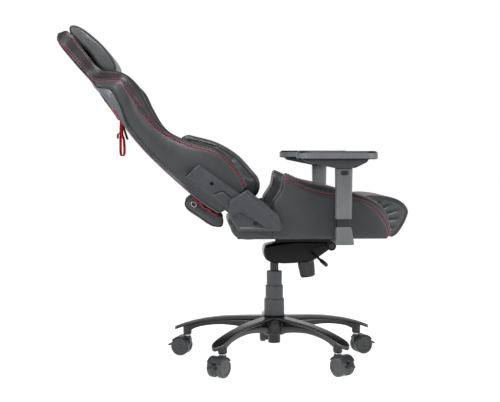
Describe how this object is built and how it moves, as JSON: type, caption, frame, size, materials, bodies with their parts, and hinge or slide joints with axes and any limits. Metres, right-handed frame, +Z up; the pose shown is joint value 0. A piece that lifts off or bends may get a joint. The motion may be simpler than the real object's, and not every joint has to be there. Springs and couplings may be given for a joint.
{
  "type": "reclining gaming chair",
  "caption": "High-backed reclining gaming chair with head pillow and lumbar cushion, adjustable armrests and gas lift on a star base with braked casters.",
  "frame": {"origin": "on the floor under the gas lift's axis", "axes": "+X to the front of the chair, +Y to its left side, +Z up"},
  "size_m": [1.1035, 0.728, 1.0927],
  "materials": {
    "base_nylon": "black glass-filled nylon, satin",
    "lift_steel": "black painted steel",
    "bright_steel": "turned steel",
    "cover_plastic": "charcoal plastic, satin",
    "cast_housing": "die cast, gloss black paint",
    "knob_plastic": "black plastic",
    "black_steel": "black powder coat",
    "seat_board": "moulded board with steel ears",
    "seat_upholstery": "coated upholstery over foam",
    "back_upholstery": "coated upholstery over foam",
    "cushion_upholstery": "coated upholstery over loose fill",
    "trim_plastic": "grey plastic, satin",
    "webbing": "woven red webbing",
    "pouch_cloth": "dark woven cloth",
    "arm_steel": "dark grey powder coat",
    "sleeve_aluminium": "silver-grey, satin",
    "carrier_plastic": "black plastic",
    "arm_pad_polyurethane": "moulded polyurethane",
    "caster_plastic": "charcoal nylon",
    "wheel_plastic": "charcoal nylon with a soft tread"
  },
  "bodies": {
    "base": {"star_base": "base_nylon", "lift_outer_tube": "lift_steel", "lift_thrust_bearing": "bright_steel", "cover_lower": "cover_plastic", "caster_stems": "bright_steel"},
    "lift_rod": {"lift_piston_rod": "bright_steel"},
    "lift": {"lift_cylinder": "lift_steel", "tilt_housing": "cast_housing", "tilt_spring": "bright_steel", "tilt_pivot_pin": "bright_steel"},
    "cover_middle": {"cover_middle": "cover_plastic"},
    "cover_upper": {"cover_upper": "cover_plastic"},
    "knob": {"tension_knob": "knob_plastic"},
    "lift_lever": {"lift_lever": "black_steel"},
    "seat": {"seat_plate": "black_steel", "seat_pan": "seat_board", "seat_pad": "seat_upholstery", "seat_bolster_right": "seat_upholstery", "seat_bolster_left": "seat_upholstery", "hinge_cover_right": "trim_plastic", "hinge_cover_left": "trim_plastic", "cover_screws": "bright_steel", "recliner_shaft": "bright_steel", "arm_upright_right": "arm_steel", "arm_upright_left": "arm_steel"},
    "backrest": {"back_frame": "black_steel", "back_pad": "back_upholstery", "back_panel": "back_upholstery", "back_bolster_right": "back_upholstery", "back_bolster_left": "back_upholstery", "back_bracket_right": "trim_plastic", "back_bracket_left": "trim_plastic", "head_pillow": "cushion_upholstery", "lumbar_cushion": "cushion_upholstery", "rear_pouch": "pouch_cloth"},
    "recline_lever": {"recline_lever": "knob_plastic"},
    "rear_strap": {"rear_strap": "webbing"},
    "arm_sleeve_right": {"arm_sleeve_right": "sleeve_aluminium"},
    "arm_button_right": {"arm_button_right": "knob_plastic"},
    "arm_carrier_right": {"arm_carrier_right": "carrier_plastic"},
    "arm_pad_right": {"arm_pad_right": "arm_pad_polyurethane"},
    "arm_sleeve_left": {"arm_sleeve_left": "sleeve_aluminium"},
    "arm_button_left": {"arm_button_left": "knob_plastic"},
    "arm_carrier_left": {"arm_carrier_left": "carrier_plastic"},
    "arm_pad_left": {"arm_pad_left": "arm_pad_polyurethane"},
    "caster_1": {"caster_hood_1": "caster_plastic"},
    "wheels_1": {"caster_wheels_1": "wheel_plastic"},
    "brake_1": {"caster_brake_1": "caster_plastic"},
    "caster_2": {"caster_hood_2": "caster_plastic"},
    "wheels_2": {"caster_wheels_2": "wheel_plastic"},
    "brake_2": {"caster_brake_2": "caster_plastic"},
    "caster_3": {"caster_hood_3": "caster_plastic"},
    "wheels_3": {"caster_wheels_3": "wheel_plastic"},
    "brake_3": {"caster_brake_3": "caster_plastic"},
    "caster_4": {"caster_hood_4": "caster_plastic"},
    "wheels_4": {"caster_wheels_4": "wheel_plastic"},
    "brake_4": {"caster_brake_4": "caster_plastic"},
    "caster_5": {"caster_hood_5": "caster_plastic"},
    "wheels_5": {"caster_wheels_5": "wheel_plastic"},
    "brake_5": {"caster_brake_5": "caster_plastic"}
  },
  "joints": [
    {"name": "swivel", "type": "hinge", "parent": "base", "child": "lift_rod", "pos_m": [0, 0, 0.07], "axis": [0, 0, 1], "continuous": true},
    {"name": "lift", "type": "slide", "parent": "lift_rod", "child": "lift", "axis": [0, 0, 1], "range_m": [-0.08, 0]},
    {"name": "cover_middle_slide", "type": "slide", "parent": "base", "child": "cover_middle", "axis": [0, 0, 1], "range_m": [-0.033, 0.001]},
    {"name": "cover_upper_slide", "type": "slide", "parent": "base", "child": "cover_upper", "axis": [0, 0, 1], "range_m": [-0.065, 0.001]},
    {"name": "tension", "type": "hinge", "parent": "lift", "child": "knob", "pos_m": [0.104, 0, 0.3322], "axis": [0.153, 0, -0.9882], "continuous": true},
    {"name": "lift_release", "type": "hinge", "parent": "lift", "child": "lift_lever", "pos_m": [0.121, -0.046, 0.3615], "axis": [-1, 0, 0], "range_deg": [0, 8], "stiffness_Nm_per_rad": 2, "springref_deg": -8.59},
    {"name": "seat_tilt", "type": "hinge", "parent": "lift", "child": "seat", "pos_m": [0.184, 0, 0.384], "axis": [0, -1, 0], "range_deg": [0, 8], "stiffness_Nm_per_rad": 300, "springref_deg": -22.92},
    {"name": "recline", "type": "hinge", "parent": "seat", "child": "backrest", "pos_m": [-0.093, 0, 0.501], "axis": [0, 1, 0], "range_deg": [0, 45]},
    {"name": "recline_release", "type": "hinge", "parent": "seat", "child": "recline_lever", "pos_m": [-0.093, 0.3, 0.501], "axis": [0, -1, 0], "range_deg": [0, 25], "stiffness_Nm_per_rad": 1, "springref_deg": -5.73},
    {"name": "strap_swing", "type": "hinge", "parent": "backrest", "child": "rear_strap", "pos_m": [-0.50641, 0, 0.79408], "axis": [0, 1, 0], "range_deg": [-32, 60]},
    {"name": "arm_height_right", "type": "slide", "parent": "seat", "child": "arm_sleeve_right", "axis": [0, 0, 1], "range_m": [-0.024, 0.046]},
    {"name": "arm_press_right", "type": "slide", "parent": "arm_sleeve_right", "child": "arm_button_right", "axis": [0, 1, 0], "range_m": [0, 0.0025], "stiffness_N_per_m": 400, "springref_m": -0.002},
    {"name": "arm_turn_right", "type": "hinge", "parent": "arm_sleeve_right", "child": "arm_carrier_right", "pos_m": [0.186, -0.31, 0.645], "axis": [0, 0, 1], "range_deg": [-20, 20]},
    {"name": "arm_reach_right", "type": "slide", "parent": "arm_carrier_right", "child": "arm_pad_right", "axis": [1, 0, 0], "range_m": [-0.025, 0.025]},
    {"name": "arm_height_left", "type": "slide", "parent": "seat", "child": "arm_sleeve_left", "axis": [0, 0, 1], "range_m": [-0.024, 0.046]},
    {"name": "arm_press_left", "type": "slide", "parent": "arm_sleeve_left", "child": "arm_button_left", "axis": [0, -1, 0], "range_m": [0, 0.0025], "stiffness_N_per_m": 400, "springref_m": -0.002},
    {"name": "arm_turn_left", "type": "hinge", "parent": "arm_sleeve_left", "child": "arm_carrier_left", "pos_m": [0.186, 0.31, 0.645], "axis": [0, 0, 1], "range_deg": [-20, 20]},
    {"name": "arm_reach_left", "type": "slide", "parent": "arm_carrier_left", "child": "arm_pad_left", "axis": [1, 0, 0], "range_m": [-0.025, 0.025]},
    {"name": "caster_swivel_1", "type": "hinge", "parent": "base", "child": "caster_1", "pos_m": [0.29007, 0.09425, 0.06], "axis": [0, 0, 1], "continuous": true},
    {"name": "wheel_roll_1", "type": "hinge", "parent": "caster_1", "child": "wheels_1", "pos_m": [0.30909, 0.10043, 0.031], "axis": [-0.309, 0.9511, 0], "continuous": true},
    {"name": "brake_press_1", "type": "hinge", "parent": "caster_1", "child": "brake_1", "pos_m": [0.33192, 0.10785, 0.039], "axis": [-0.309, 0.9511, 0], "range_deg": [0, 8]},
    {"name": "caster_swivel_2", "type": "hinge", "parent": "base", "child": "caster_2", "pos_m": [0, 0.305, 0.06], "axis": [0, 0, 1], "continuous": true},
    {"name": "wheel_roll_2", "type": "hinge", "parent": "caster_2", "child": "wheels_2", "pos_m": [0, 0.325, 0.031], "axis": [-1, 0, 0], "continuous": true},
    {"name": "brake_press_2", "type": "hinge", "parent": "caster_2", "child": "brake_2", "pos_m": [0, 0.349, 0.039], "axis": [-1, 0, 0], "range_deg": [0, 8]},
    {"name": "caster_swivel_3", "type": "hinge", "parent": "base", "child": "caster_3", "pos_m": [-0.29007, 0.09425, 0.06], "axis": [0, 0, 1], "continuous": true},
    {"name": "wheel_roll_3", "type": "hinge", "parent": "caster_3", "child": "wheels_3", "pos_m": [-0.30909, 0.10043, 0.031], "axis": [-0.309, -0.9511, 0], "continuous": true},
    {"name": "brake_press_3", "type": "hinge", "parent": "caster_3", "child": "brake_3", "pos_m": [-0.33192, 0.10785, 0.039], "axis": [-0.309, -0.9511, 0], "range_deg": [0, 8]},
    {"name": "caster_swivel_4", "type": "hinge", "parent": "base", "child": "caster_4", "pos_m": [-0.17927, -0.24675, 0.06], "axis": [0, 0, 1], "continuous": true},
    {"name": "wheel_roll_4", "type": "hinge", "parent": "caster_4", "child": "wheels_4", "pos_m": [-0.19103, -0.26293, 0.031], "axis": [0.809, -0.5878, 0], "continuous": true},
    {"name": "brake_press_4", "type": "hinge", "parent": "caster_4", "child": "brake_4", "pos_m": [-0.20514, -0.28235, 0.039], "axis": [0.809, -0.5878, 0], "range_deg": [0, 8]},
    {"name": "caster_swivel_5", "type": "hinge", "parent": "base", "child": "caster_5", "pos_m": [0.17927, -0.24675, 0.06], "axis": [0, 0, 1], "continuous": true},
    {"name": "wheel_roll_5", "type": "hinge", "parent": "caster_5", "child": "wheels_5", "pos_m": [0.19103, -0.26293, 0.031], "axis": [0.809, 0.5878, 0], "continuous": true},
    {"name": "brake_press_5", "type": "hinge", "parent": "caster_5", "child": "brake_5", "pos_m": [0.20514, -0.28235, 0.039], "axis": [0.809, 0.5878, 0], "range_deg": [0, 8]}
  ],
  "couplings": [
    {"joint": "cover_middle_slide", "follows": "lift", "ratio": 0.4},
    {"joint": "cover_upper_slide", "follows": "lift", "ratio": 0.8}
  ]
}
